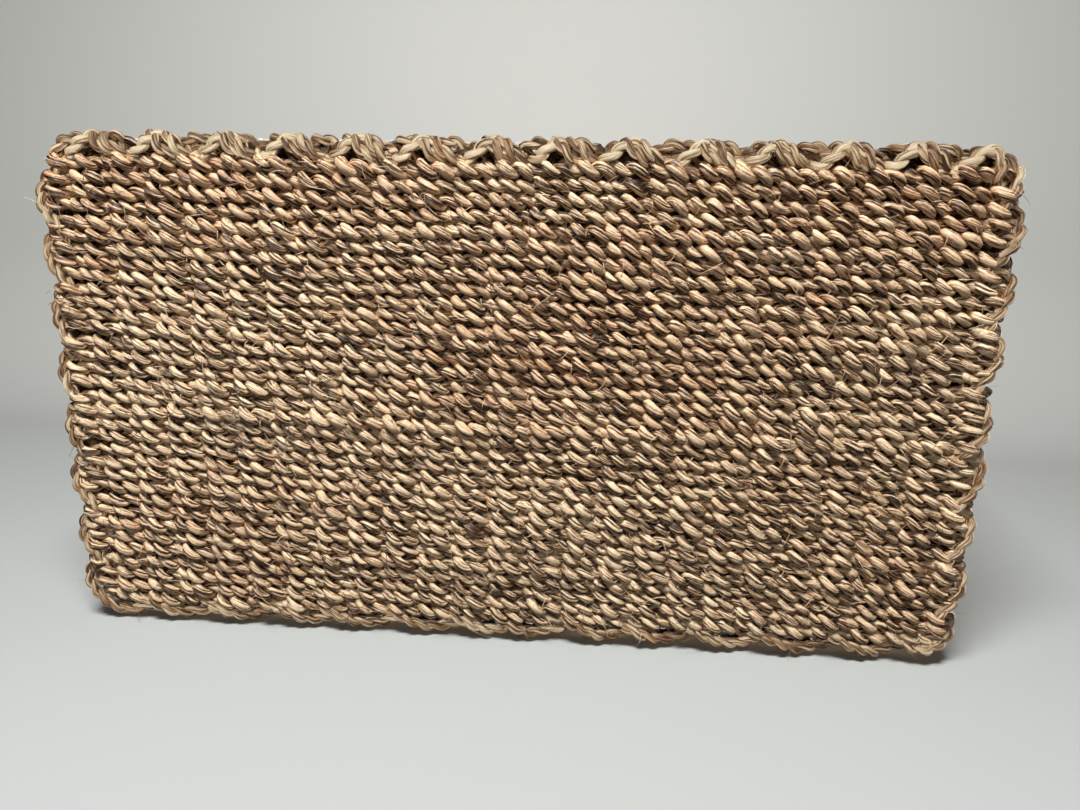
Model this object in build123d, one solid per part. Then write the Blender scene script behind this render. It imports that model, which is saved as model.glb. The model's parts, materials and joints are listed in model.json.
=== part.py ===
from build123d import *
import os
from math import asin, atan2, cos, degrees, hypot, radians, sin, tan

# Twined seagrass beach tote: a flat rectangular base, walls that flare up to a
# braided rim, and two rope handles that swing on rope beckets.
# Frame: origin at the centre of the underside, X along the bag, +Z to the mouth.

# ---- Driving dimensions (mm) ----
base_length = 350.0
base_depth = 190.0
base_corner = 18.0
rim_length = 430.0
rim_depth = 220.0
rim_corner = 45.0
weave_thickness = 12.0
wall_height = 260.0
base_edge_round = 4.0

stake_d = 2.4
stake_play = 0.3
stake_bend = 4.5
stake_gap = 0.8
cross_stake_count = 25
cross_stake_pitch = 14.0
end_stake_count = 7
end_stake_pitch = 20.0
corner_stake_angles = (22.0, 44.0)

rim_width = 16.0
rim_height = 14.0
rim_core_d = 4.0
rim_core_inset = 4.0
core_play = 0.2

becket_rope_d = 6.0
becket_play = 0.1
becket_bend = 4.0
becket_outset = 2.0
becket_tail = 28.0
becket_stake = 5

handle_rope_d = 12.0
handle_rise = 200.0
eye_rope_d = 8.0
eye_play = 0.1
eye_to_rim = 2.0
grip_d = 19.0
grip_half_angle = 42.0
whipping_d = 15.6
whipping_length = 22.0
wrap_play = 0.05

# ---- Derived sizes ----
half_thickness = weave_thickness / 2
wall_foot = weave_thickness
wall_top = wall_foot + wall_height
rim_top = wall_top + rim_height
cross_stake_z = half_thickness
side_stake_foot = cross_stake_z + stake_d / 2 + stake_gap
stake_top = wall_top - stake_gap

base_straight_x = base_length / 2 - base_corner
base_straight_y = base_depth / 2 - base_corner
base_mid_corner = base_corner - half_thickness
rim_straight_x = rim_length / 2 - rim_corner
rim_straight_y = rim_depth / 2 - rim_corner
rim_mid_corner = rim_corner - half_thickness
rim_mid_length = rim_length - weave_thickness
rim_mid_depth = rim_depth - weave_thickness

eye_ring_radius = becket_rope_d / 2 + eye_play + eye_rope_d / 2
eye_outer_radius = eye_ring_radius + eye_rope_d / 2
hinge_z = rim_top + eye_to_rim + eye_outer_radius

wall_lean = atan2((rim_depth - base_depth) / 2, wall_height)
wall_mid_at_hinge = rim_mid_depth / 2 + (hinge_z - wall_top) * tan(wall_lean)
hinge_y = wall_mid_at_hinge + becket_outset
rim_stake_pitch = cross_stake_pitch * rim_straight_x / base_straight_x
becket_x = becket_stake * rim_stake_pitch


def rod(path, diameter):
    """A round rod of the given diameter along a path."""
    start = Plane(origin=path @ 0, z_dir=path % 0)
    return sweep(start * Circle(diameter / 2), path=path)


def rounded_plan(length, depth, corner, z):
    """A rounded rectangle at height z."""
    return Pos(0, 0, z) * RectangleRounded(length, depth, corner)


def flared_block(inset):
    """The walls' outer form, drawn in by inset all round."""
    foot = rounded_plan(
        base_length - 2 * inset, base_depth - 2 * inset, base_corner - inset, wall_foot
    )
    top = rounded_plan(
        rim_length - 2 * inset, rim_depth - 2 * inset, rim_corner - inset, wall_top
    )
    return loft([foot, top], ruled=True)


# ---- Stakes: the stiff cords that the weave is twined round ----
def corner_points(angle):
    """Foot and top of a corner stake, angle measured from +Y towards +X."""
    across = sin(radians(angle))
    along = cos(radians(angle))
    foot = (
        base_straight_x + base_mid_corner * across,
        base_straight_y + base_mid_corner * along,
    )
    top = (
        rim_straight_x + rim_mid_corner * across,
        rim_straight_y + rim_mid_corner * along,
    )
    return foot, top


def long_wall_points(x):
    """Foot and top, on the +Y side, of the cross stake that crosses the base at x."""
    reach = abs(x) - base_straight_x
    if reach <= 0:
        foot = (x, base_depth / 2 - half_thickness)
        top = (x * rim_straight_x / base_straight_x, rim_mid_depth / 2)
        return foot, top
    foot, top = corner_points(degrees(asin(reach / base_mid_corner)))
    side = 1 if x > 0 else -1
    return (side * foot[0], foot[1]), (side * top[0], top[1])


def cross_stake(x, diameter):
    """One U-shaped cord: up the front wall, across the base and up the back wall."""
    foot, top = long_wall_points(x)
    spread = top[0] - foot[0]
    rise = stake_top - cross_stake_z
    leg = hypot(spread, rise)
    lean = Vector(spread / leg, 0, rise / leg)
    across = Vector(0, 1, 0)
    origin = (foot[0], 0, cross_stake_z)
    plane = Plane(origin=origin, x_dir=across, z_dir=across.cross(lean))
    outline = FilletPolyline(
        (-top[1], leg), (-foot[1], 0), (foot[1], 0), (top[1], leg), radius=stake_bend
    )
    return rod(plane * outline, diameter)


def side_stake(foot, top, diameter):
    """One straight cord from the base edge up to the rim."""
    return rod(Line((*foot, side_stake_foot), (*top, stake_top)), diameter)


def cross_stakes(diameter):
    half_row = (cross_stake_count - 1) / 2
    places = [(i - half_row) * cross_stake_pitch for i in range(cross_stake_count)]
    return [cross_stake(x, diameter) for x in places]


def end_stakes(side, diameter):
    half_row = (end_stake_count - 1) / 2
    foot_x = side * (base_length / 2 - half_thickness)
    top_x = side * rim_mid_length / 2
    made = []
    for i in range(end_stake_count):
        y = (i - half_row) * end_stake_pitch
        top_y = y * rim_straight_y / base_straight_y
        made.append(side_stake((foot_x, y), (top_x, top_y), diameter))
    return made


def corner_stakes(diameter):
    made = []
    for side_x in (-1, 1):
        for side_y in (-1, 1):
            for angle in corner_stake_angles:
                foot, top = corner_points(angle)
                foot = (side_x * foot[0], side_y * foot[1])
                top = (side_x * top[0], side_y * top[1])
                made.append(side_stake(foot, top, diameter))
    return made


# ---- Beckets: rope loops that stand out of the rim and carry the handles ----
def at_handle_end(shape, side_x, side_y):
    """Moves a shape made at the origin for the back right handle end to any of the four."""
    leaned = Rot(degrees(-wall_lean), 0, 0) * shape
    if side_y < 0:
        leaned = mirror(leaned, about=Plane.XZ)
    return Pos(side_x * becket_x, side_y * hinge_y, hinge_z) * leaned


def becket(side_x, side_y, diameter):
    """A bar that the handle's eye turns on, with both legs tucked down into the wall."""
    half_span = rim_stake_pitch / 2
    depth = hinge_z - wall_top + becket_tail
    outline = FilletPolyline(
        (-half_span, -depth), (-half_span, 0), (half_span, 0), (half_span, -depth),
        radius=becket_bend,
    )
    return at_handle_end(rod(Plane.XZ * outline, diameter), side_x, side_y)


# ---- Rim ----
def rim_path(inset):
    """The rim's centre line, drawn in by inset."""
    plan = RectangleRounded(
        rim_mid_length - 2 * inset, rim_mid_depth - 2 * inset, rim_mid_corner - inset
    )
    return Pos(0, 0, wall_top + rim_height / 2) * plan.wire()


def hoop(path, section):
    """A closed ring of the given section."""
    start = Plane(origin=path @ 0, x_dir=Vector(0, 0, 1).cross(path % 0), z_dir=path % 0)
    return sweep(start * section, path=path)


# ---- Handles ----
def handle_path():
    """The handle's centre line, upright above the hinge, from eye to eye."""
    foot = eye_ring_radius
    shoulder = handle_rise - becket_x
    left = Line((-becket_x, 0, foot), (-becket_x, 0, shoulder))
    arch = ThreePointArc((-becket_x, 0, shoulder), (0, 0, handle_rise), (becket_x, 0, shoulder))
    right = Line((becket_x, 0, shoulder), (becket_x, 0, foot))
    return Wire([left, arch, right])


def handle():
    """Rope bow with an eye spliced into each end."""
    rope = rod(handle_path(), handle_rope_d)
    eye = Rot(0, 90, 0) * Torus(eye_ring_radius, eye_rope_d / 2)
    turning_room = Rot(0, 90, 0) * Cylinder(becket_rope_d / 2 + eye_play, handle_rope_d)
    eyes = [Pos(side * becket_x, 0, 0) * eye for side in (-1, 1)]
    rooms = [Pos(side * becket_x, 0, 0) * turning_room for side in (-1, 1)]
    return rope + eyes - rooms


def grip():
    """Cord wrapped round the middle of the bow."""
    centre_z = handle_rise - becket_x
    start = radians(90 + grip_half_angle)
    first = (becket_x * cos(start), 0, centre_z + becket_x * sin(start))
    last = (-first[0], 0, first[2])
    path = ThreePointArc(first, (0, 0, handle_rise), last)
    return rod(path, grip_d) - rod(path, handle_rope_d + 2 * wrap_play)


def whipping(side_x):
    """Cord bound round the rope just above an eye."""
    low = eye_outer_radius + eye_to_rim
    path = Line((side_x * becket_x, 0, low), (side_x * becket_x, 0, low + whipping_length))
    return rod(path, whipping_d) - rod(path, handle_rope_d + 2 * wrap_play)


# ---- Assembly ----
channel_d = stake_d + 2 * stake_play
stake_channels = cross_stakes(channel_d) + corner_stakes(channel_d)
stake_channels += end_stakes(-1, channel_d) + end_stakes(1, channel_d)
ends = [(side_x, side_y) for side_x in (-1, 1) for side_y in (-1, 1)]
becket_channels = [becket(*end, becket_rope_d + 2 * becket_play) for end in ends]

base_plan = RectangleRounded(base_length, base_depth, base_corner)
inner_plan = RectangleRounded(
    base_length - 2 * weave_thickness,
    base_depth - 2 * weave_thickness,
    base_corner - weave_thickness,
)
edge_block = extrude(base_plan, weave_thickness)
edge_block = fillet(edge_block.faces().sort_by(Axis.Z)[0].edges(), base_edge_round)
panel_block = extrude(inner_plan, weave_thickness)
wall_block = flared_block(0) - flared_block(weave_thickness)
rim_section = RectangleRounded(rim_width, rim_height, rim_height / 2 - core_play)
core_room = hoop(rim_path(rim_core_inset), Circle(rim_core_d / 2 + core_play))

parts = {
    "base_weave": panel_block - stake_channels,
    "base_edge_twine": edge_block - panel_block - stake_channels,
    "wall_weave": wall_block - stake_channels - becket_channels,
    "cross_stakes": Compound(children=cross_stakes(stake_d)),
    "left_end_stakes": Compound(children=end_stakes(-1, stake_d)),
    "right_end_stakes": Compound(children=end_stakes(1, stake_d)),
    "corner_stakes": Compound(children=corner_stakes(stake_d)),
    "rim_core": hoop(rim_path(rim_core_inset), Circle(rim_core_d / 2)),
    "rim_braid": hoop(rim_path(0), rim_section) - core_room - becket_channels,
}

for side_y, wall in ((-1, "front"), (1, "back")):
    place = Pos(0, side_y * hinge_y, hinge_z)
    parts[f"{wall}_handle"] = place * handle()
    parts[f"{wall}_grip_wrap"] = place * grip()
    for side_x, end in ((-1, "left"), (1, "right")):
        parts[f"{wall}_{end}_whipping"] = place * whipping(side_x)
        parts[f"{wall}_{end}_becket"] = becket(side_x, side_y, becket_rope_d)

os.makedirs("parts", exist_ok=True)
for name, shape in parts.items():
    export_step(shape, f"parts/{name}.step")
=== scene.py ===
import json
from math import atan2, cos, pi, radians, sin, tan

import bpy
import numpy as np
from mathutils import Matrix, Vector


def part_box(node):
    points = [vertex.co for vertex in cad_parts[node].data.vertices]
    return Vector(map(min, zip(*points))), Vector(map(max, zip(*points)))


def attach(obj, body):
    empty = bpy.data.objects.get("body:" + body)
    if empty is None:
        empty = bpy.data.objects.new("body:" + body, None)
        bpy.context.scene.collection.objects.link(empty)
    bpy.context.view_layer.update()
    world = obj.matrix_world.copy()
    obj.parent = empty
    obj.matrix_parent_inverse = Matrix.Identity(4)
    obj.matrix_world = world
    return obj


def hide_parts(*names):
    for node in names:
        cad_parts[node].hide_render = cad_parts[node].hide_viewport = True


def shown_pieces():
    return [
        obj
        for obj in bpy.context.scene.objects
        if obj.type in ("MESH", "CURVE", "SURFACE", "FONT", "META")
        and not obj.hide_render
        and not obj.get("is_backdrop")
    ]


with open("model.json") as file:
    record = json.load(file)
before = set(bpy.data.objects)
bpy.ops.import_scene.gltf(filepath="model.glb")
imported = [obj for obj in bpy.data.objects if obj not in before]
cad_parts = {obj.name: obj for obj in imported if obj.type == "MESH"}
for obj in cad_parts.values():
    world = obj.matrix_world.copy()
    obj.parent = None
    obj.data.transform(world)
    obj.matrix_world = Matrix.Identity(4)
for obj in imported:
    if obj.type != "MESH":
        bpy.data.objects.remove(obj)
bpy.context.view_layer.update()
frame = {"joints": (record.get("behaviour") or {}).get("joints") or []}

# The bag is laid up from real cords: every rope is a set of plies, each a closed tube that follows
# its own helix. Lengths are in metres.
MM = 0.001

# ---- Sizes read from the frame ----
edge_low, edge_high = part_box("base_edge_twine")
wall_low, wall_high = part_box("wall_weave")
rim_low, rim_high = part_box("rim_braid")
grip_low, grip_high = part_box("back_grip_wrap")
whip_low, whip_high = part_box("back_right_whipping")
becket_low, becket_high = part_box("back_right_becket")
hinge = Vector(next(j["pos_m"] for j in frame["joints"] if j["name"] == "back_handle_swing"))

base_half = np.array([edge_high.x, edge_high.y])
rim_half = np.array([wall_high.x, wall_high.y])
thickness = edge_high.z - edge_low.z
wall_foot = wall_low.z
wall_top = wall_high.z
wall_lean = atan2(rim_half[1] - base_half[1], wall_top - wall_foot)
becket_x = (whip_low.x + whip_high.x) / 2
whip_radius = (whip_high.x - whip_low.x) / 2
grip_radius = (grip_high.y - grip_low.y) / 2
handle_rise = grip_high.z - grip_radius - hinge.z

# ---- The CAD's measures that no box gives ----
BASE_CORNER = 18 * MM
RIM_CORNER = 45 * MM
STAKE_PITCH = 14 * MM
STAKE_COUNT = 25
STAKE_BEND = 4.5 * MM
END_STAKE_PITCH = 20 * MM
END_STAKE_COUNT = 7
CORNER_ANGLES = (22.0, 44.0)
CORE_INSET = 4 * MM
CORE_RADIUS = 2 * MM
EYE_RING = 7.1 * MM
GRIP_HALF_ANGLE = 42.0
BECKET_BEND = 4 * MM
BECKET_RADIUS = 3 * MM

# ---- Ropes ----
# Each is given by the radius of a ply, how far the plies lie from the rope's own line, and its lay:
# the length in which they make one turn.
WEFT_PLY, WEFT_OFFSET, WEFT_LAY = 1.34 * MM, 1.5 * MM, 13.2 * MM
EDGE_PLY, EDGE_OFFSET, EDGE_LAY = 1.25 * MM, 1.0 * MM, 11.5 * MM
RIM_PLY, RIM_OFFSET, RIM_LAY = 1.7 * MM, 1.35 * MM, 16 * MM
STAKE_PLY, STAKE_LAY = 0.68 * MM, 9 * MM
STAKE_OFFSET = 0.8 * STAKE_PLY
STRAND_OFFSET, STRAND_LAY = 3.1 * MM, 46 * MM
BOW_PLY, BOW_OFFSET, BOW_LAY = 1.6 * MM, 1.25 * MM, 15 * MM
EYE_PLY, EYE_OFFSET, EYE_LAY = 1.7 * MM, 2.0 * MM, 17 * MM
BECKET_PLY, BECKET_OFFSET, BECKET_LAY = 1.5 * MM, 1.42 * MM, 17 * MM
# The radii of the single cords that are wound on, and the pitch they are wound at, in those radii.
GRIP_CORD = 1.5 * MM
WHIPPING_CORD = 0.85 * MM
WOUND_PITCH = 2.04
# How much a ply swells where it faces out, and how fast its streaks turn round it, in radians a metre.
LEAF = 0.28
FIBRE_TWIST = 160.0

# ---- Weave ----
# Each row is two ropes that pass either side of every stake. They stand FLOAT_DEPTH off the middle of
# the weave at a stake, and FLOAT_DROP to either side of the row's line where they cross.
ROW_PITCH = 5.2 * MM
FLOAT_DEPTH = 3.3 * MM
FLOAT_DROP = 0.9 * MM
# What the rows leave free for the edge round, along the long sides and at the ends.
EDGE_BAND = 6.0 * MM
END_BAND = 3.6 * MM
# The length of one loop of the edge round.
SIDE_LOOP = 44 * MM
FRONT_LOOP = 24 * MM
# How far the walls' spiral runs on into the edge round and the rim.
WALL_OVERLAP = 3 * MM

# The most points of a tube that lie in one strip of its map.
MAP_STRIP = 600
SEED = 7


# ---- Random, but the same on every run ----
def smooth_noise(rng, count, travel, knot):
    """count wandering curves over travel, mostly within -1 to 1, with a random value every knot."""
    knots = max(int(travel[-1] / knot) + 3, 4)
    places = np.linspace(-knot, travel[-1] + knot, knots)
    return np.stack([np.interp(travel, places, row) for row in rng.normal(0, 0.5, (count, knots))])


def smoothstep(low, high, value):
    """Rises smoothly from 0 to 1 as value goes from low to high."""
    t = np.clip((value - low) / (high - low), 0, 1)
    return t * t * (3 - 2 * t)


# ---- Tubes ----
def unit(v):
    """v, or each of its rows, drawn to length 1."""
    return v / np.linalg.norm(v, axis=-1, keepdims=True)


def cross_axes(path, up):
    """Two unit vectors square to the path at each point; the second leans towards up."""
    tangent = unit(np.gradient(path, axis=-2))
    side = unit(np.cross(tangent, up))
    return side, np.cross(side, tangent)


def travelled(path):
    """Distance along the path at each point."""
    steps = np.linalg.norm(np.diff(path, axis=-2), axis=-1)
    start = np.zeros(steps.shape[:-1] + (1,))
    return np.concatenate([start, np.cumsum(steps, axis=-1)], axis=-1)


def lay(path, up, plies, offset, lay_length, phase=0.0, rate=1.0):
    """Centre lines of the plies that twist round path, and how far each faces up, from -1 to 1."""
    side, face = cross_axes(path, up)
    steps = np.diff(travelled(path), axis=-1, prepend=0) * rate
    turn = 2 * pi * np.cumsum(steps, axis=-1) / lay_length + phase
    angle = turn[..., None, :] + (2 * pi / plies * np.arange(plies))[:, None]
    reach = np.broadcast_to(offset, turn.shape)[..., None, :, None]
    lift = np.cos(angle)[..., None] * face[..., None, :, :]
    shift = np.sin(angle)[..., None] * side[..., None, :, :]
    return path[..., None, :, :] + reach * (lift + shift), np.cos(angle)


def per_ply(values, plies):
    """Repeats a rope's per-point values for each of its plies."""
    return np.repeat(np.asarray(values)[..., None, :], plies, axis=-2)


def per_point(values, path):
    """values given per point, per tube or as one number, spread out to one for each point."""
    if np.ndim(values) < 2:
        return np.broadcast_to(values, path.shape[:2])
    return values.reshape(path.shape[:2])


def bake_map(mesh, tubes, points, sides):
    """Lays every tube out in level strips, so that each keeps its own colours when they are baked."""
    strip = min(points - 1, MAP_STRIP)
    strips = -(-(points - 1) // strip)
    tube, step, side = np.indices((tubes, points - 1, sides))
    row = (tube * strips + step // strip)[..., None]
    along = ((step % strip)[..., None] + np.array([0, 0, 1, 1])) / strip
    across = (side[..., None] + np.array([0, 1, 1, 0])) / sides
    quads = np.stack([along, (row + 0.05 + 0.9 * across) / (tubes * strips)], axis=-1).reshape(-1, 2)
    turn = 2 * pi * np.arange(sides) / sides
    cap_row = (np.repeat([0, strips - 1], tubes) + np.tile(np.arange(tubes), 2) * strips)[:, None]
    cap_along = (0.5 + 0.4 * np.cos(turn)) / strip + 0 * cap_row
    cap_across = (cap_row + 0.5 + 0.4 * np.sin(turn)) / (tubes * strips)
    caps = np.stack([cap_along, cap_across], axis=-1).reshape(-1, 2)
    layer = mesh.uv_layers.new(name="OFBake")
    layer.data.foreach_set("uv", np.concatenate([quads, caps]).astype(np.float32).ravel())


def tube_mesh(name, path, up, radius, tone, warmth, sides, rng):
    """One mesh of closed round tubes. path is (..., points, 3); radius, tone and warmth are each given
    per point, per tube or as one number."""
    points = path.shape[-2]
    up = np.broadcast_to(up, path.shape).reshape(-1, points, 3)
    path = path.reshape(-1, points, 3)
    tubes = len(path)
    side, face = cross_axes(path, up)
    radius = per_point(radius, path)
    bearing = 2 * pi * np.arange(sides) / sides
    ring = np.cos(bearing)[:, None] * face[:, :, None] + np.sin(bearing)[:, None] * side[:, :, None]
    verts = path[:, :, None] + radius[:, :, None, None] * ring

    corner = np.arange(tubes * points * sides).reshape(tubes, points, sides)
    right = np.roll(corner, -1, axis=2)
    quads = np.stack([corner[:, :-1], right[:, :-1], right[:, 1:], corner[:, 1:]], axis=-1).reshape(-1)
    caps = np.concatenate([corner[:, 0, ::-1].reshape(-1), corner[:, -1].reshape(-1)])
    quad_count = len(quads) // 4
    starts = np.concatenate([
        np.arange(quad_count) * 4, quad_count * 4 + np.arange(2 * tubes) * sides
    ])

    mesh = bpy.data.meshes.new(name)
    mesh.vertices.add(corner.size)
    mesh.vertices.foreach_set("co", verts.astype(np.float32).ravel())
    mesh.loops.add(len(quads) + len(caps))
    mesh.loops.foreach_set("vertex_index", np.concatenate([quads, caps]).astype(np.int32))
    mesh.polygons.add(len(starts))
    mesh.polygons.foreach_set("loop_start", starts.astype(np.int32))
    mesh.polygons.foreach_set("use_smooth", np.ones(len(starts), bool))
    bake_map(mesh, tubes, points, sides)

    travel = travelled(path)
    own = rng.uniform(0, 400, (tubes, 1, 1, 1)) * MM
    spiral = bearing + FIBRE_TWIST * travel[:, :, None]
    fibre = np.stack(
        [np.cos(spiral) * radius[..., None], np.sin(spiral) * radius[..., None],
         np.broadcast_to(travel[:, :, None], spiral.shape)], axis=-1
    ) + own
    for label, values in (("tone", tone), ("warmth", warmth)):
        layer = mesh.attributes.new(label, "FLOAT", "POINT")
        layer.data.foreach_set("value", np.repeat(per_point(values, path), sides).astype(np.float32))
    layer = mesh.attributes.new("fibre", "FLOAT_VECTOR", "POINT")
    layer.data.foreach_set("vector", fibre.astype(np.float32).ravel())
    mesh.update()
    return mesh


def new_object(name, data):
    obj = bpy.data.objects.new(name, data)
    bpy.context.scene.collection.objects.link(obj)
    return obj


def piece(mesh, body, material, cad_node):
    """A finished piece of the bag on its CAD body, standing for the named CAD node."""
    obj = new_object(mesh.name, mesh)
    mesh.materials.append(material)
    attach(obj, body)
    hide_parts(cad_node)
    return obj


# ---- Materials ----
def linear(*screen):
    """The linear colour of red, green and blue screen values from 0 to 255."""
    return (*[c / 255 / 12.92 if c < 10 else ((c / 255 + 0.055) / 1.055) ** 2.4 for c in screen], 1)


def feed(tree, socket, value):
    """Links another node's output to the socket, or sets the socket to a plain value."""
    if isinstance(value, bpy.types.NodeSocket):
        tree.links.new(value, socket)
    else:
        socket.default_value = value


def node(tree, kind, **inputs):
    """A new node; an input's spaces are written as underscores."""
    made = tree.nodes.new(kind)
    for key, value in inputs.items():
        feed(tree, made.inputs[key.replace("_", " ")], value)
    return made


def noise(tree, **inputs):
    return node(tree, "ShaderNodeTexNoise", **inputs).outputs[0]


def maths(tree, operation, first, second):
    made = tree.nodes.new("ShaderNodeMath")
    made.operation = operation
    feed(tree, made.inputs[0], first)
    feed(tree, made.inputs[1], second)
    return made.outputs[0]


def attribute(tree, name, output="Fac"):
    made = tree.nodes.new("ShaderNodeAttribute")
    made.attribute_name = name
    return made.outputs[output]


def colour_ramp(tree, factor, *colours):
    """The colours, evenly spaced as factor goes from 0 to 1."""
    made = tree.nodes.new("ShaderNodeValToRGB")
    tree.links.new(factor, made.inputs["Fac"])
    ramp = made.color_ramp
    while len(ramp.elements) < len(colours):
        ramp.elements.new(0.5)
    for place, colour in enumerate(colours):
        ramp.elements[place].position = place / (len(colours) - 1)
        ramp.elements[place].color = colour
    return made.outputs["Color"]


def mixed(tree, factor, first, second, blend="MIX"):
    made = tree.nodes.new("ShaderNodeMix")
    made.data_type = "RGBA"
    made.blend_type = blend
    feed(tree, made.inputs[0], factor)
    feed(tree, made.inputs[6], first)
    feed(tree, made.inputs[7], second)
    return made.outputs[2]


def mixed_shader(tree, factor, first, second):
    made = tree.nodes.new("ShaderNodeMixShader")
    feed(tree, made.inputs[0], factor)
    feed(tree, made.inputs[1], first)
    feed(tree, made.inputs[2], second)
    return made.outputs[0]


def empty_tree(owner):
    """Turns on the nodes of a material or a world, and clears them."""
    owner.use_nodes = True
    owner.node_tree.nodes.clear()
    return owner.node_tree


def cord_material(name, dark, middle, light, contrast=3.4):
    """Dry twisted leaf: fine streaks along each ply, a tone per cord and reddish stretches. The tone also
    carries the light and shade that the base, wall and edge ropes paint into it.
    """
    material = bpy.data.materials.new(name)
    tree = empty_tree(material)
    fibre = attribute(tree, "fibre", "Vector")
    stretched = node(tree, "ShaderNodeMapping", Vector=fibre, Scale=(1, 1, 0.05)).outputs[0]
    streak = noise(tree, Vector=stretched, Scale=2300.0, Detail=2.0, Roughness=0.6)
    strip = noise(tree, Vector=stretched, Scale=1000.0, Detail=1.0)
    blotch = noise(tree, Vector=fibre, Scale=110.0, Detail=2.0)
    relief = maths(tree, "ADD", maths(tree, "MULTIPLY", streak, 0.6), maths(tree, "MULTIPLY", strip, 0.9))
    grain = maths(tree, "MULTIPLY", maths(tree, "SUBTRACT", relief, 0.75), contrast)
    tone = maths(tree, "ADD", attribute(tree, "tone"), grain)
    tone = maths(tree, "ADD", tone, maths(tree, "MULTIPLY", maths(tree, "SUBTRACT", blotch, 0.5), 0.5))
    base = colour_ramp(tree, tone, linear(*dark), linear(*middle), linear(*light))
    reddish = maths(tree, "MULTIPLY", attribute(tree, "warmth"), maths(tree, "ADD", blotch, 0.15))
    base = mixed(tree, reddish, base, mixed(tree, 1.0, base, linear(222, 178, 146), "MULTIPLY"))
    rough = maths(tree, "ADD", maths(tree, "MULTIPLY", streak, 0.3), 0.3)
    bump = node(tree, "ShaderNodeBump", Strength=1.0, Distance=1.0 * MM, Height=relief)
    shader = node(
        tree, "ShaderNodeBsdfPrincipled", Base_Color=base, Roughness=rough, Normal=bump.outputs[0],
        Specular_IOR_Level=0.6,
    )
    node(tree, "ShaderNodeOutputMaterial", Surface=shader.outputs[0])
    return material


# A cord's screen colours run from its darkest to its palest leaf. Where a rope's tone carries painted
# light and shade, the dark end also paints the shade in its gaps and the pale end its highlights.
seagrass = cord_material("seagrass", (54, 35, 20), (173, 133, 95), (246, 219, 181), contrast=6.4)
edge_cord = cord_material("edge_cord", (76, 52, 31), (172, 137, 99), (242, 222, 186))
stake_cord = cord_material("stake_cord", (84, 64, 43), (140, 114, 82), (190, 164, 124))
rim_cord = cord_material("rim_cord", (80, 60, 40), (150, 122, 88), (206, 180, 140))
handle_rope = cord_material("handle_rope", (96, 70, 46), (186, 152, 112), (240, 220, 184))
grip_cord = cord_material("grip_cord", (108, 82, 54), (198, 168, 126), (246, 230, 196))
whipping_cord = cord_material("whipping_cord", (84, 58, 38), (160, 124, 86), (220, 192, 150))
becket_rope = cord_material("becket_rope", (90, 66, 44), (178, 146, 108), (232, 210, 172))


# ---- Round the bag ----
# A perimeter coordinate runs from 0 to 8: each odd stretch is a corner, each even one a straight side,
# starting with the front wall and going to the right.
SIDES = np.array([(1, -1), (1, 1), (-1, 1), (-1, -1)])


def around(q, half, corner, inset):
    """Point and outward direction at coordinate q of a rounded rectangle drawn in by inset."""
    straight = np.asarray(half) - corner
    quarter = (np.floor(q / 2).astype(int)) % 4
    along = q % 2
    centre = SIDES[quarter] * straight
    before = SIDES[quarter - 1] * straight
    turn = (quarter - 1 + np.clip(along - 1, 0, 1)) * pi / 2
    out = np.stack([np.cos(turn), np.sin(turn)], axis=-1)
    on_side = before + (centre - before) * np.minimum(along, 1)[..., None]
    return on_side + (corner - inset) * out, out


def even_track(half, corner, inset, points, first=0.0):
    """Coordinates q of points spread evenly over one turn of the perimeter, and the distance to each."""
    fine = np.linspace(first, first + 8, 4001)
    place, _ = around(fine, half, corner, inset)
    distance = travelled(place)
    even = np.linspace(0, distance[-1], points)
    return np.interp(even, distance, fine), even


def wall_place(q, z):
    """Point on the middle of the wall and its outward direction."""
    low, out = around(q, base_half, BASE_CORNER, thickness / 2)
    high, _ = around(q, rim_half, RIM_CORNER, thickness / 2)
    rise = ((z - wall_foot) / (wall_top - wall_foot))[..., None]
    flat = low + (high - low) * rise
    point = np.concatenate([flat, np.asarray(z)[..., None] + np.zeros_like(flat[..., :1])], axis=-1)
    out = np.concatenate([out, np.zeros_like(out[..., :1])], axis=-1)
    return point, out


def cross_coordinates():
    """Coordinates, along the front wall, of the stakes that cross the base."""
    straight = base_half[0] - BASE_CORNER
    x = (np.arange(STAKE_COUNT) - (STAKE_COUNT - 1) / 2) * STAKE_PITCH
    over = np.clip(np.abs(x) - straight, 0, None)
    turned = np.degrees(np.arcsin(over / (BASE_CORNER - thickness / 2))) / 90
    return np.clip(x, -straight, straight) / (2 * straight) + 0.5 + np.sign(x) * turned


def corner_coordinates():
    """Coordinates of the extra uprights in the corners."""
    turned = np.array(CORNER_ANGLES) / 90
    return np.concatenate([1 + turned, 4 - turned, 5 + turned, 8 - turned])


def end_coordinates():
    """Coordinates of the uprights in the right end wall."""
    y = (np.arange(END_STAKE_COUNT) - (END_STAKE_COUNT - 1) / 2) * END_STAKE_PITCH
    return 2.5 + y / (2 * (base_half[1] - BASE_CORNER))


def stake_coordinates():
    """Coordinate of every upright, in order round the bag."""
    cross, end = cross_coordinates(), end_coordinates()
    return np.sort(np.concatenate([cross, cross + 4, end, end + 4, corner_coordinates()]) % 8)


# ---- The edge round, where the base turns into the wall ----
# Its ropes are coiled round the edge. The coil is tighter along the front, and it runs the other way
# on the left, so that the two ends of the bag mirror each other.
EDGE_POINTS = 1700
edge_q, edge_distance = even_track(base_half, BASE_CORNER, thickness / 2, EDGE_POINTS, 4.5)
edge_centre, edge_out = around(edge_q, base_half, BASE_CORNER, thickness / 2)
on_front = np.clip(-edge_out[:, 1], 0, 1) ** 2
on_back = np.clip(edge_out[:, 1], 0, 1) ** 2
on_right = np.clip(edge_out[:, 0], 0, 1) ** 2
on_left = np.clip(-edge_out[:, 0], 0, 1) ** 2
edge_rate = on_front / FRONT_LOOP + (on_right + 0.85 * on_back - on_left) / SIDE_LOOP
edge_cycles = np.cumsum(edge_rate) * (edge_distance[1] - edge_distance[0])


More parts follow.
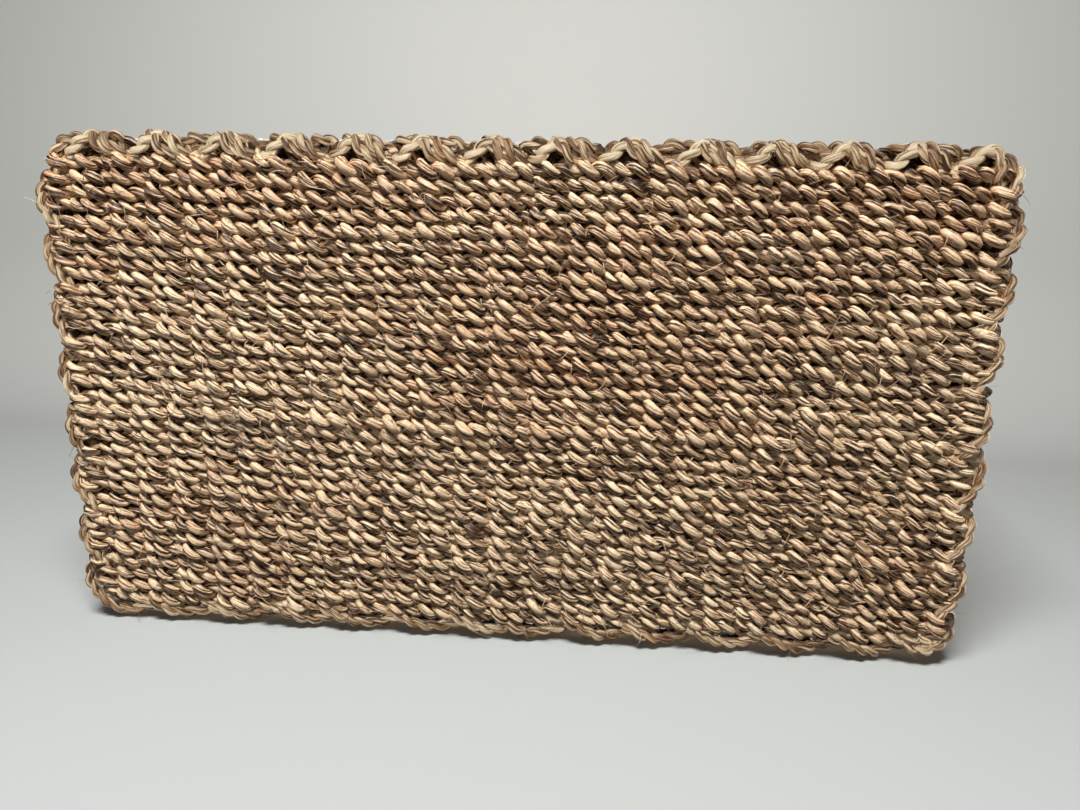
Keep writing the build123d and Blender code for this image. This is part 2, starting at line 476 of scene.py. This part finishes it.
def coil(turn, outward, forward):
    """Points coiled round the edge: outward at turn 0, towards the underside a quarter turn on."""
    swell = (1.9 * on_front + 0.9 * on_back) * MM
    flat = edge_centre + edge_out * (swell + outward * np.cos(turn))[:, None]
    return np.column_stack([flat, thickness / 2 - forward * np.sin(turn)])


def edge_rope(number, path, turn, shown, pale, rng):
    """One two-ply rope of the edge, painted paler where it passes over the underside and darker where it
    turns away: painted light and shade.
    """
    up = unit(np.column_stack([edge_out * 0.6, -np.ones(EDGE_POINTS)]))[shown]
    path, turn, distance = path[shown], turn[shown], edge_distance[shown]
    swell = 1 + 0.1 * smooth_noise(rng, 1, distance, 18 * MM)[0]
    phase = rng.uniform(0, 2 * pi) + 1.2 * smooth_noise(rng, 1, distance, 40 * MM)[0]
    plies, facing = lay(path, up, 2, EDGE_OFFSET * swell, EDGE_LAY, phase)
    # The 0.2 * sin(turn) term is painted light and shade: paler over the underside, darker where the rope
    # turns away behind.
    tone = 0.42 + pale + 0.2 * np.sin(turn) + 0.16 * smooth_noise(rng, 2, distance, 30 * MM)
    warmth = np.clip(0.2 - pale + 0.5 * smooth_noise(rng, 2, distance, 30 * MM), 0, 1)
    radius = EDGE_PLY * swell * (1 + 0.5 * LEAF * facing)
    mesh = tube_mesh(f"edge_rope_{number}", plies, up, radius, tone, warmth, 9, rng)
    return piece(mesh, "basket", edge_cord, "base_edge_twine")


def build_edge():
    """Two ropes that bulge out and dive in over the first row. The front has two more: a pale one
    that arches over the edge between them, and one behind that the painted shade of its turn away from
    the underside makes darker."""
    rng = np.random.default_rng(SEED + 1)
    outward = (4.4 - 1.2 * on_front - 1.4 * on_back) * MM
    forward = (3.4 + 0.4 * on_front) * MM
    everywhere = edge_q > 0
    # From inside the front left corner to inside the front right one.
    along_front = (edge_q > 7.3) & (edge_q < 9.75)
    made = []
    for second in (0, 1):
        wander = 0.05 * smooth_noise(rng, 1, edge_distance, 25 * MM)[0]
        apart = second * (0.5 - 0.29 * on_front)
        turn = 2 * pi * (edge_cycles + apart + wander)
        turn = turn - (0.15 + 0.3 * on_front) * np.cos(turn)
        size = 1 + 0.18 * smooth_noise(rng, 1, edge_distance, 16 * MM)[0]
        path = coil(turn, outward * size, forward)
        made.append(edge_rope(1 + second, path, turn, everywhere, 0.0, rng))
    wander = 0.06 * smooth_noise(rng, 1, edge_distance, 25 * MM)[0]
    turn = -2 * pi * (edge_cycles + wander)
    made.append(edge_rope(3, coil(turn, 3.4 * MM, 3.4 * MM), turn, along_front, 0.4, rng))
    turn = -0.9 + 0.5 * np.sin(3.1 * pi * edge_cycles + wander * 9)
    made.append(edge_rope(4, coil(turn, 3.7 * MM, 4.4 * MM), turn, along_front, 0.1, rng))
    return made


# ---- The woven base ----
DOWN = np.array([0.0, 0, -1])
BASE_POINTS = 290
BASE_BANDS = 5
FIBRE_COUNT = 1500
FIBRE_POINTS = 12


def drawn(x, y):
    """How far the rows wander from straight, shared by neighbouring rows so that they stay in step."""
    slow = 1.6 * MM * np.sin(x * 11 + 0.7) * np.cos(y * 17 + 0.4)
    quick = 0.5 * MM * np.sin(x * 47 + y * 60 + 1.9)
    bulge = 2.6 * MM * np.exp(-((x + 0.11) / 0.09) ** 2) * np.sin(np.clip((y + base_half[1]) * 44, 0, pi))
    return slow + quick + bulge


def loop_pull(x, y):
    """How far a row end at (x, y) is from the middle of the edge loop beside it."""
    right = np.interp(y, edge_centre[on_right > 0.5, 1], edge_cycles[on_right > 0.5])
    left = np.interp(y, edge_centre[on_left > 0.5, 1][::-1], edge_cycles[on_left > 0.5][::-1])
    half_turns = 2 * np.where(x > 0, right, left)
    return (half_turns - np.round(half_turns)) * SIDE_LOOP / 2


def base_reach(y):
    """How far a row at y runs to either side before the edge round."""
    radius = BASE_CORNER - END_BAND
    over = np.clip(np.abs(y) - (base_half[1] - BASE_CORNER), 0, radius * 0.9)
    return base_half[0] - BASE_CORNER + np.sqrt(radius ** 2 - over ** 2)


def build_base():
    """The weft of the base: rows of two ropes that cross between stakes, each of two plies."""
    rng = np.random.default_rng(SEED)
    count = int(round(2 * (base_half[1] - EDGE_BAND) / ROW_PITCH))
    rows = (np.arange(count) - (count - 1) / 2) * ROW_PITCH
    reach = base_reach(rows)[:, None]
    x = np.linspace(-1, 1, BASE_POINTS) * reach
    travel = x[count // 2] + reach[count // 2]
    shape = (count, 2, x.shape[1])
    swell = 1 + 0.11 * smooth_noise(rng, count * 2, travel, 20 * MM).reshape(shape)
    swell *= 1 + rng.normal(0, 0.05, (count, 2, 1))
    y = rows[:, None] + np.zeros_like(x)
    y = y + drawn(x, y) + 0.25 * MM * smooth_noise(rng, count, travel, 30 * MM)
    crowding = np.clip(np.gradient(y, axis=0) / ROW_PITCH, 0.8, 1.35)
    near_end = smoothstep(reach - 24 * MM, reach - 2 * MM, np.abs(x))
    y = y - 0.1 * near_end * loop_pull(x, rows[:, None] + np.zeros_like(x))
    swell *= crowding[:, None]
    cross = pi * x[:, None] / STAKE_PITCH + np.array([0, pi])[:, None]
    tuck = smoothstep(reach - 5 * MM, reach, np.abs(x))[:, None]
    flat = smoothstep(reach - 20 * MM, reach - 4 * MM, np.abs(x))[:, None]
    depth = (FLOAT_DEPTH + 0.3 * MM * rng.normal(0, 1, (count, 2, 1))) * np.cos(cross)
    drop = FLOAT_DROP * np.sin(cross) * (1 - flat)
    path = np.empty(shape + (3,))
    path[..., 0] = x[:, None]
    path[..., 1] = y[:, None] + drop * crowding[:, None]
    path[..., 2] = thickness / 2 - depth * (1 - 0.5 * tuck) + 2.5 * MM * tuck
    phase = rng.uniform(0, 2 * pi, (count, 2, 1))
    phase = phase + 1.6 * smooth_noise(rng, count * 2, travel, 35 * MM).reshape(shape)
    rate = 1 - 0.15 * flat + np.zeros(shape)
    plies, facing = lay(path, DOWN, 2, WEFT_OFFSET * swell, WEFT_LAY, phase, rate)
    radius = WEFT_PLY * per_ply(swell, 2) * (1 + LEAF * facing + rng.normal(0, 0.07, (count, 2, 2, 1)))
    # A ply's tone differs at random. It is also painted paler where the ply faces out, a painted
    # highlight, and darker where its rope dives under a stake, a painted shade.
    tone = 0.7 + rng.normal(0, 0.07, (count, 2, 2, 1)) + 0.1 * facing + 0.1 * np.cos(cross)[:, :, None]
    tone = tone + 0.1 * smooth_noise(rng, count * 4, travel, 16 * MM).reshape(count, 2, 2, -1)
    patch = np.sin(x * 23 + 1.0) * np.sin(y * 37 + 2.2) - 0.9 * y / base_half[1]
    warmth = 0.16 + 0.28 * patch[:, None]
    warmth = warmth + 0.36 * smooth_noise(rng, count * 2, travel, 20 * MM).reshape(shape)
    warmth = per_ply(np.clip(warmth, 0, 1), 2)
    made = []
    for number, band in enumerate(np.array_split(np.arange(count), BASE_BANDS), 1):
        mesh = tube_mesh(
            f"base_weft_{number}", plies[band], DOWN, radius[band], tone[band], warmth[band], 10, rng
        )
        made.append(piece(mesh, "basket", seagrass, "base_weave"))
    return made


def build_fibres():
    """Broken ends of leaf that stand and curl off the underside."""
    rng = np.random.default_rng(SEED + 3)
    count = FIBRE_COUNT
    start = rng.uniform(-1, 1, (count, 2, 1)) * (base_half - 7 * MM)[:, None]
    heading = rng.normal(0.45, 0.75, (count, 1)) + pi * rng.integers(0, 2, (count, 1))
    length = (2 + rng.gamma(2.0, 1.9, (count, 1))) * MM
    bend = rng.normal(0, 90, (count, 1)) * rng.choice([1, 3], (count, 1), p=[0.8, 0.2])
    t = np.linspace(0, 1, FIBRE_POINTS)
    angle = heading + bend * length * t
    step = length / (FIBRE_POINTS - 1)
    lift = rng.uniform(0.3, 2.2, (count, 1)) * MM
    path = np.stack([
        start[:, 0] + np.cumsum(np.cos(angle) * step, axis=1),
        start[:, 1] + np.cumsum(np.sin(angle) * step, axis=1),
        0.6 * MM - lift * np.sin(pi * t * rng.uniform(0.5, 1, (count, 1))),
    ], axis=-1)
    thick = rng.uniform(0.07, 0.19, (count, 1)) * MM * (1 - 0.6 * t)
    tone = 0.9 + rng.normal(0, 0.25, (count, 1)) + 0 * t
    warmth = np.clip(rng.normal(0.2, 0.3, (count, 1)), 0, 1) + 0 * t
    mesh = tube_mesh("loose_fibres", path, np.array([0.3, 0.2, -1.0]), thick, tone, warmth, 4, rng)
    return piece(mesh, "basket", seagrass, "base_weave")


# ---- The walls ----
WALL_BANDS = 8
SAMPLES_PER_STAKE = 8


def build_walls():
    """One long spiral of two ropes that cross between uprights, from the edge round up to the rim."""
    rng = np.random.default_rng(SEED + 2)
    stakes = stake_coordinates()
    foot = wall_foot - WALL_OVERLAP
    rise = wall_top + WALL_OVERLAP - foot
    turns = int(rise / ROW_PITCH)
    station = np.arange(turns * len(stakes) * SAMPLES_PER_STAKE + 1) / SAMPLES_PER_STAKE
    q = np.interp(station % len(stakes), np.arange(len(stakes) + 1), np.append(stakes, stakes[0] + 8))
    z = foot + rise * station / station[-1]
    cross = pi * station + np.array([0, pi])[:, None]
    middle, out = wall_place(q, z)
    wander = 0.5 * MM * np.sin(q * 5 + z * 40) + 0.35 * MM * np.sin(q * 13 - z * 90)
    path = middle + out * (FLOAT_DEPTH * np.cos(cross))[..., None]
    path[..., 2] += wander - FLOAT_DROP * np.sin(cross)
    path += out * (1.2 * MM * np.sin(q * pi / 2 * 3 + z * 14) * (z - wall_foot) / wall_top)[:, None]
    distance = travelled(path)
    swell = 1 + 0.1 * smooth_noise(rng, 2, distance[0], 24 * MM)
    phase = 1.6 * smooth_noise(rng, 2, distance[0], 35 * MM)
    up = np.broadcast_to(out, path.shape)
    plies, facing = lay(path, up, 2, WEFT_OFFSET * swell, WEFT_LAY, phase)
    tone = 0.6 + 0.16 * smooth_noise(rng, 4, distance[0], 25 * MM).reshape(2, 2, -1)
    # Painted highlight where a ply faces out of the wall, and painted shade where its rope dives under an
    # upright.
    tone = tone + 0.14 * facing + 0.12 * np.cos(cross)[:, None]
    warmth = np.clip(0.2 + 0.4 * smooth_noise(rng, 2, distance[0], 50 * MM), 0, 1)
    warmth, radius = per_ply(warmth, 2), WEFT_PLY * per_ply(swell, 2)
    up = np.repeat(up[:, None], 2, axis=1)
    edges = np.linspace(0, turns, WALL_BANDS + 1).round() * len(stakes) * SAMPLES_PER_STAKE
    for number, (first, last) in enumerate(zip(edges[:-1].astype(int), edges[1:].astype(int)), 1):
        span = slice(first, last + 1)
        mesh = tube_mesh(
            f"wall_weft_{number}", plies[..., span, :], up[..., span, :], radius[..., span],
            tone[..., span], warmth[..., span], 6, rng
        )
        piece(mesh, "basket", seagrass, "wall_weave")


# ---- Stakes ----
CROSS_STAKE_POINTS = 280
SIDE_STAKE_POINTS = 110


def resampled(corners, count, round_off=0.0):
    """A polyline as count evenly spaced points, its corners rounded by averaging over round_off."""
    corners = np.asarray(corners, float)
    distance = travelled(corners)
    even = np.linspace(0, distance[-1], count)
    path = np.stack([np.interp(even, distance, axis) for axis in corners.T], axis=-1)
    reach = int(round_off / even[1])
    if reach == 0:
        return path
    before = 2 * path[0] - path[reach:0:-1]
    after = 2 * path[-1] - path[-2:-reach - 2:-1]
    padded = np.concatenate([before, path, after])
    window = np.ones(2 * reach + 1) / (2 * reach + 1)
    return np.stack([np.convolve(axis, window, "valid") for axis in padded.T], axis=-1)


def upright(q):
    """Foot and top of the upright at coordinate q, on the middle of the wall."""
    ends, _ = wall_place(np.array([q, q]), np.array([wall_foot, wall_top - MM]))
    return ends


def add_stakes(name, paths, up, rng):
    """Stakes of two plies each, standing for the CAD node of that name."""
    paths = np.array(paths)
    distance = travelled(paths[0])
    phase = rng.uniform(0, 2 * pi, (len(paths), 1))
    plies, _ = lay(paths, up, 2, STAKE_OFFSET, STAKE_LAY, phase)
    tone = 0.62 + 0.25 * smooth_noise(rng, len(paths) * 2, distance, 20 * MM)
    mesh = tube_mesh(f"{name}_cord", plies, up, STAKE_PLY, tone, 0.2, 6, rng)
    piece(mesh, "basket", stake_cord, name)


def build_stakes():
    """The cords that cross the base and go up both long walls, and those of the ends and corners."""
    rng = np.random.default_rng(SEED + 4)
    across = []
    for q in cross_coordinates():
        foot, top = upright(q)
        foot[2] = thickness / 2
        corners = [top, foot, foot * (1, -1, 1), top * (1, -1, 1)]
        across.append(resampled(corners, CROSS_STAKE_POINTS, STAKE_BEND))
    add_stakes("cross_stakes", across, np.array([1.0, 0, 0]), rng)
    straight = [
        ("corner_stakes", corner_coordinates(), np.array([1.0, 1, 0])),
        ("right_end_stakes", end_coordinates(), np.array([0.0, 1, 0])),
        ("left_end_stakes", end_coordinates() + 4, np.array([0.0, 1, 0])),
    ]
    for name, places, up in straight:
        add_stakes(name, [resampled(upright(q), SIDE_STAKE_POINTS) for q in places], up, rng)


# ---- The rim ----
RIM_POINTS = 1500
PLAIT_CYCLE = 31 * MM
PLAIT_SWING = radians(105)
PLAIT_REACH = 5.3 * MM
PLAIT_WEAVE = 1.3 * MM
PLAIT_DEPTH = 9.7 * MM


def build_rim():
    """A plait of three ropes bent over the top of the wall, and the stiff cord along its inside.
    Each rope swings from one side of the wall to the other, and weaves over and under the others."""
    rng = np.random.default_rng(SEED + 5)
    q, distance = even_track(rim_half, RIM_CORNER, thickness / 2, RIM_POINTS)
    centre, out = around(q, rim_half, RIM_CORNER, thickness / 2)
    cycles = round(distance[-1] / PLAIT_CYCLE)
    turn = 2 * pi * cycles * distance / distance[-1]
    ropes, ups = [], []
    for strand in range(3):
        swing = turn + 2 * pi / 3 * strand
        angle = PLAIT_SWING * np.sin(swing)
        reach = PLAIT_REACH + PLAIT_WEAVE * np.sin(2 * swing)
        flat = centre + out * (reach * np.sin(angle))[:, None]
        ropes.append(np.column_stack([flat, rim_high.z - PLAIT_DEPTH + reach * np.cos(angle)]))
        ups.append(np.column_stack([out * np.sin(angle)[:, None], np.cos(angle)]))
    ropes, ups = np.array(ropes), np.array(ups)
    swell = 1 + 0.08 * smooth_noise(rng, 3, distance, 20 * MM)
    phase = rng.uniform(0, 2 * pi, (3, 1)) + 1.4 * smooth_noise(rng, 3, distance, 40 * MM)
    plies, facing = lay(ropes, ups, 2, RIM_OFFSET * swell, RIM_LAY, phase)
    radius = RIM_PLY * per_ply(swell, 2) * (1 + 0.4 * LEAF * facing)
    tone = 0.56 + 0.25 * smooth_noise(rng, 6, distance, 25 * MM)
    warmth = np.clip(0.3 + 0.5 * smooth_noise(rng, 6, distance, 40 * MM), 0, 1)
    up = np.repeat(ups[:, None], 2, axis=1)
    mesh = tube_mesh("rim_plait", plies, up, radius, tone, warmth, 8, rng)
    piece(mesh, "basket", edge_cord, "rim_braid")

    core, _ = around(q, rim_half, RIM_CORNER, thickness / 2 + CORE_INSET)
    path = np.column_stack([core, np.full(RIM_POINTS, (rim_low.z + rim_high.z) / 2)])
    mesh = tube_mesh("rim_core_cord", path, np.array([0.0, 0, 1]), CORE_RADIUS, 0.4, 0.2, 8, rng)
    piece(mesh, "basket", rim_cord, "rim_core")


# ---- Handles ----
BOW_POINTS = 400
EYE_POINTS = 90
BECKET_POINTS = 130
SIDEWAYS = np.array([0.0, 1, 0])
LENGTHWAYS = np.array([1.0, 0, 0])


def at_wall(side, x, y, z):
    """A point given from the hinge line of the back wall's handle, or of the front wall's for side -1."""
    x, y, z = np.broadcast_arrays(x, y, z)
    return np.stack([x, side * (hinge.y + y), hinge.z + z], axis=-1)


def bow_point(side, angle):
    """Point on the bow's arch, angle in radians from the top towards the right."""
    shoulder = handle_rise - becket_x
    return at_wall(side, becket_x * np.sin(angle), 0.0, shoulder + becket_x * np.cos(angle))


def add_wound(name, line, radius, cord, body, material, cad_node, rng):
    """Cord wound closely round a line, out to the given radius, with some 22 points to a turn."""
    path = resampled(line, int(travelled(line)[-1] / cord * 11))
    coil_line, _ = lay(path, SIDEWAYS, 1, radius - cord, WOUND_PITCH * cord)
    outward = unit(coil_line - path)
    distance = travelled(path)
    tone = 0.55 + 0.25 * smooth_noise(rng, 1, distance, 6 * MM)
    warmth = np.clip(0.3 + 0.4 * smooth_noise(rng, 1, distance, 9 * MM), 0, 1)
    mesh = tube_mesh(name, coil_line, outward, cord, tone, warmth, 8, rng)
    piece(mesh, body, material, cad_node)


def build_handle(wall, side):
    """A laid bow of three two-ply strands, its spliced eyes, grip and whippings, and its beckets."""
    rng = np.random.default_rng(SEED + 8 + side)
    body = f"{wall}_handle_body"
    foot = whip_low.z - hinge.z + 3 * MM
    arch = bow_point(side, np.linspace(-pi / 2, pi / 2, 90))
    ends = [at_wall(side, [x], 0.0, foot) for x in (-becket_x, becket_x)]
    path = resampled(np.concatenate([ends[0], arch, ends[1]]), BOW_POINTS)
    strands, _ = lay(path, SIDEWAYS, 3, STRAND_OFFSET, STRAND_LAY)
    phase = rng.uniform(0, 2 * pi, (3, 1))
    plies, _ = lay(strands, SIDEWAYS, 2, BOW_OFFSET, BOW_LAY, phase)
    distance = travelled(path)
    tone = 0.54 + 0.25 * smooth_noise(rng, 6, distance, 25 * MM)
    warmth = np.clip(0.3 + 0.4 * smooth_noise(rng, 6, distance, 40 * MM), 0, 1)
    mesh = tube_mesh(f"{wall}_bow", plies, SIDEWAYS, BOW_PLY, tone, warmth, 8, rng)
    piece(mesh, body, handle_rope, f"{wall}_handle")

    # An eye comes down out of the whipping, goes round the becket and back up.
    turn = np.radians(np.linspace(50, -230, 60))
    ring_y, ring_z = EYE_RING * np.cos(turn), EYE_RING * np.sin(turn)
    leg = np.array([2.0 * MM, 1.9 * MM])
    leg_z = np.array([foot + 3 * MM, foot - 2 * MM])
    eye_y = np.concatenate([leg, ring_y, -leg[::-1]])
    eye_z = np.concatenate([leg_z, ring_z, leg_z[::-1]])
    eyes = [at_wall(side, x, eye_y, eye_z) for x in (-becket_x, becket_x)]
    eyes = np.array([resampled(eye, EYE_POINTS, 1.6 * MM) for eye in eyes])
    strands, _ = lay(eyes, LENGTHWAYS, 3, EYE_OFFSET, EYE_LAY)
    tone = 0.54 + 0.2 * smooth_noise(rng, 6, travelled(eyes[0]), 20 * MM)
    mesh = tube_mesh(f"{wall}_eyes", strands, LENGTHWAYS, EYE_PLY, tone, 0.3, 8, rng)
    piece(mesh, body, handle_rope, f"{wall}_handle")

    half_angle = radians(GRIP_HALF_ANGLE)
    add_wound(
        f"{wall}_grip_cord", bow_point(side, np.linspace(-half_angle, half_angle, 60)),
        grip_radius, GRIP_CORD, body, grip_cord, f"{wall}_grip_wrap", rng
    )
    for end, x in (("left", -becket_x), ("right", becket_x)):
        heights = np.array([whip_low.z + WHIPPING_CORD, whip_high.z - WHIPPING_CORD]) - hinge.z
        add_wound(
            f"{wall}_{end}_whipping_cord", at_wall(side, x, 0.0, heights),
            whip_radius, WHIPPING_CORD, body, whipping_cord,
            f"{wall}_{end}_whipping", rng
        )
        build_becket(wall, side, end, x, rng)


def build_becket(wall, side, end, x, rng):
    """The rope loop that stands out of the rim and carries one eye."""
    half_span = (becket_high.x - becket_low.x) / 2 - BECKET_RADIUS
    depth = hinge.z - becket_low.z
    across = x + half_span * np.array([-1, -1, 1, 1])
    down = -depth * np.array([1, 0, 0, 1])
    corners = at_wall(side, across, down * tan(wall_lean), down)
    path = resampled(corners, BECKET_POINTS, 0.7 * BECKET_BEND)
    outward = np.array([0.0, side, 0])
    plies, _ = lay(path, outward, 2, BECKET_OFFSET, BECKET_LAY)
    tone = 0.5 + 0.22 * smooth_noise(rng, 2, travelled(path), 20 * MM)
    mesh = tube_mesh(f"{wall}_{end}_loop", plies, outward, BECKET_PLY, tone, 0.25, 10, rng)
    piece(mesh, "basket", becket_rope, f"{wall}_{end}_becket")


# ---- Camera, lights and floor ----
# The photo's camera looks at the base from close below, so most of its stage is sized by the base.
base_length = 2 * base_half[0]
BACKDROP = linear(224, 224, 221)
DAYLIGHT = (1, 0.99, 0.97)
WHITE = (1, 1, 1)
BASE_CENTRE = (0, 0, 0)
BAG_CENTRE = (0, 0, 0.2)


def add_camera():
    """Looks at the underside from below, as a phone held close to the bag does."""
    place = Vector((0.0894, -0.2022, -0.7922)) * base_length
    yaw, pitch, roll = radians(-3.97), radians(13.855), radians(-1.267)
    ahead = Vector((sin(yaw) * cos(pitch), sin(pitch), cos(yaw) * cos(pitch)))
    up = (Vector((0, -1, 0)) + ahead * ahead.y).normalized()
    up = Matrix.Rotation(roll, 3, ahead) @ up
    right = ahead.cross(up)
    data = bpy.data.cameras.new("camera")
    data.sensor_width = 36
    data.lens = 26
    data.clip_start = 0.01
    data.clip_end = 50
    camera = new_object("camera", data)
    turned = Matrix((right, up, -ahead)).transposed().to_4x4()
    camera.matrix_world = Matrix.Translation(place) @ turned
    bpy.context.scene.camera = camera


def add_lamp(name, place, target, size, power, colour, receivers):
    """A rectangular lamp at place that faces target and lights only its receivers."""
    data = bpy.data.lights.new(name, "AREA")
    data.shape = "RECTANGLE"
    data.size, data.size_y = size
    data.energy = power
    data.color = colour
    lamp = new_object(name, data)
    lamp.location = place
    lamp.rotation_euler = (Vector(target) - Vector(place)).to_track_quat("-Z", "Y").to_euler()
    lamp.light_linking.receiver_collection = receivers


def seen_from_above(tree):
    geometry = tree.nodes.new("ShaderNodeNewGeometry")
    return maths(tree, "SUBTRACT", 1.0, geometry.outputs["Backfacing"])


def height_of(tree, vector):
    return node(tree, "ShaderNodeSeparateXYZ", Vector=vector).outputs["Z"]


def seen_looking_up(tree):
    geometry = tree.nodes.new("ShaderNodeNewGeometry")
    return maths(tree, "LESS_THAN", height_of(tree, geometry.outputs["Incoming"]), -0.5)


def by_height(tree):
    return height_of(tree, tree.nodes.new("ShaderNodeNewGeometry").outputs["Position"])


def by_distance(tree):
    """How far a point is from the origin."""
    position = tree.nodes.new("ShaderNodeNewGeometry").outputs["Position"]
    made = tree.nodes.new("ShaderNodeVectorMath")
    made.operation = "LENGTH"
    tree.links.new(position, made.inputs[0])
    return made.outputs["Value"]


def between(tree, value, start, end):
    """Rises smoothly from 0 to 1 as value goes from start to end."""
    ramp = node(tree, "ShaderNodeMapRange", Value=value, From_Min=start, From_Max=end)
    ramp.interpolation_type = "SMOOTHSTEP"
    return ramp.outputs[0]


def stage_material(name, colour, seen, painted_light_above=None, far_colour=None):
    """A pale matt surface that only shows itself where seen says so, and lets all else through.
    With a second colour it grows towards that colour with height, painted light across the set; it may
    also melt into far_colour with distance."""
    material = bpy.data.materials.new(name)
    tree = empty_tree(material)
    if painted_light_above is not None:
        colour = mixed(tree, between(tree, by_height(tree), 0.1, 0.62), colour, painted_light_above)
    grain = noise(tree, Scale=900.0, Detail=2.0)
    bump = node(tree, "ShaderNodeBump", Strength=0.06, Distance=0.5 * MM, Height=grain)
    surface = node(
        tree, "ShaderNodeBsdfPrincipled", Base_Color=colour, Roughness=0.65, Normal=bump.outputs[0]
    ).outputs[0]
    if far_colour is not None:
        glow = node(tree, "ShaderNodeEmission", Color=far_colour).outputs[0]
        surface = mixed_shader(tree, between(tree, by_distance(tree), 0.6, 2.2), surface, glow)
    clear = node(tree, "ShaderNodeBsdfTransparent").outputs[0]
    node(tree, "ShaderNodeOutputMaterial", Surface=mixed_shader(tree, seen(tree), clear, surface))
    return material


def stage_object(name, verts, faces, material):
    """Part of the set: the camera sees it, and the lights and the bag don't."""
    mesh = bpy.data.meshes.new(name)
    mesh.from_pydata(verts, [], faces)
    for face in mesh.polygons:
        face.use_smooth = True
    mesh.materials.append(material)
    obj = new_object(name, mesh)
    obj.visible_diffuse = obj.visible_glossy = obj.visible_shadow = obj.visible_transmission = False
    obj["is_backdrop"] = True
    return obj


def stage_sheet(name, profile, half_width, material):
    """A sheet with the given (y, z) profile, stretched along X."""
    verts = [(side * half_width, y, z) for y, z in profile for side in (-1, 1)]
    faces = [(2 * i, 2 * i + 1, 2 * i + 3, 2 * i + 2) for i in range(len(profile) - 1)]
    return stage_object(name, verts, faces, material)


def seat_profile():
    """The seat that the bag lies on, back wall down, curving up behind it into a backdrop."""
    foot_y, foot_z = base_half[1] + 1.5 * MM, thickness / 2
    top_y = rim_high.y + 0.5 * MM
    lean = atan2(top_y - foot_y, rim_high.z - thickness - foot_z)
    along = np.array([sin(lean), cos(lean)])
    away = np.array([cos(lean), -sin(lean)])
    start = np.array([foot_y, foot_z])
    near, flat, bend = -1.2, 0.34, 0.22
    steps = 12
    points = [start + along * near, start + along * flat]
    centre = start + along * flat - bend * away
    for step in range(1, steps + 1):
        a = radians(78) * step / steps
        points.append(centre + bend * (away * cos(a) + along * sin(a)))
    points.append(points[-1] + unit(points[-1] - points[-2]) * 2.0)
    return points


def build_painted_inside_shade():
    """Painted shade for the inside of the bag, as it shows through the base: a near-black sheet cut to
    the base's outline as the camera sees it, because the real bag's mouth is shut off by what it lies on."""
    eye = np.array(bpy.context.scene.camera.location)
    q, _ = even_track(base_half, BASE_CORNER, 0, 160)
    outline, _ = around(q[:-1], base_half, BASE_CORNER, 4 * MM)
    level = thickness + 2 * MM
    outline = eye[:2] + (outline - eye[:2]) * (level - eye[2]) / (thickness / 2 - eye[2])
    verts = [(x, y, level) for x, y in outline]
    # Near-black colour: painted shade, seen only by camera rays that look up through the base.
    material = stage_material("painted_inside_shade", linear(14, 11, 8), seen_looking_up)
    return stage_object("painted_inside_shade", verts, [range(len(verts))], material)


def add_world():
    """A dim grey sky that the camera sees as the plain backdrop."""
    world = bpy.data.worlds.new("world")
    bpy.context.scene.world = world
    tree = empty_tree(world)
    light = node(tree, "ShaderNodeBackground", Color=linear(214, 216, 218), Strength=0.07)
    shown = node(tree, "ShaderNodeBackground", Color=BACKDROP)
    to_camera = tree.nodes.new("ShaderNodeLightPath").outputs["Is Camera Ray"]
    sky = mixed_shader(tree, to_camera, light.outputs[0], shown.outputs[0])
    node(tree, "ShaderNodeOutputWorld", Surface=sky)


def collected(name, objects):
    """A collection that lamps can be linked to, outside the scene's own."""
    made = bpy.data.collections.new(name)
    for obj in objects:
        made.objects.link(obj)
    return made


def add_lights(floor, seen_from_below):
    """The underside has its own lights, so that the upright bag isn't lit through the floor. So has
    the edge round, which shows both from below and from the sides."""
    size = base_length
    under = collected("lit_from_below", seen_from_below + base_pieces)
    rest = [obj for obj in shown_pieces() if obj not in base_pieces + edge_pieces]
    over = collected("lit_from_above", [floor] + rest)
    edges = collected("lit_edges", edge_pieces)
    window, window_size = (-0.15 * size, -2.6 * size, -1.0 * size), (1.4 * size, 0.6 * size)
    room, room_size = (0.3 * size, -0.6 * size, -3.2 * size), (1.6 * size, 1.6 * size)
    low, low_size = (-0.3 * size, -1.2 * size, -2.2 * size), (1.2 * size, 1.2 * size)
    add_lamp("window", window, BASE_CENTRE, window_size, 17, DAYLIGHT, under)
    add_lamp("room", room, BASE_CENTRE, room_size, 1.4, WHITE, under)
    add_lamp("studio_key", (-1.1, -1.5, 1.7), BAG_CENTRE, (1.4, 1.4), 74, (1, 0.98, 0.95), over)
    add_lamp("studio_fill", (1.6, -0.9, 1.0), BAG_CENTRE, (1.4, 1.4), 34, (0.95, 0.97, 1), over)
    add_lamp("studio_back", (0.4, 1.8, 1.4), BAG_CENTRE, (1.2, 1.2), 46, WHITE, over)
    add_lamp("edge_window", low, BASE_CENTRE, low_size, 8.5, DAYLIGHT, edges)
    add_lamp("edge_front", (0.5, -1.7, 0.7), BASE_CENTRE, (1.2, 1.2), 14, WHITE, edges)
    add_lamp("edge_right", (1.8, 0.1, 0.8), BASE_CENTRE, (1.2, 1.2), 24, WHITE, edges)
    add_lamp("edge_back", (-1.2, 1.2, 1.1), BASE_CENTRE, (1.2, 1.2), 16, WHITE, edges)


base_pieces = build_base() + [build_fibres()]
edge_pieces = build_edge()
build_walls()
build_stakes()
build_rim()
build_handle("front", -1)
build_handle("back", 1)

add_camera()
floor = stage_sheet(
    "floor", [(-6, -0.4 * MM), (6, -0.4 * MM)], 6,
    stage_material("floor", linear(196, 195, 191), seen_from_above, far_colour=BACKDROP),
)
# The seat's colour goes from darker near the bag to paler up the backdrop: painted light and shade.
seat = stage_sheet(
    "seat", seat_profile(), 3,
    stage_material("seat", linear(177, 181, 180), seen_looking_up, painted_light_above=linear(206, 207, 203)),
)
add_world()
add_lights(floor, [seat, build_painted_inside_shade()])
bpy.context.scene.view_settings.view_transform = "Standard"
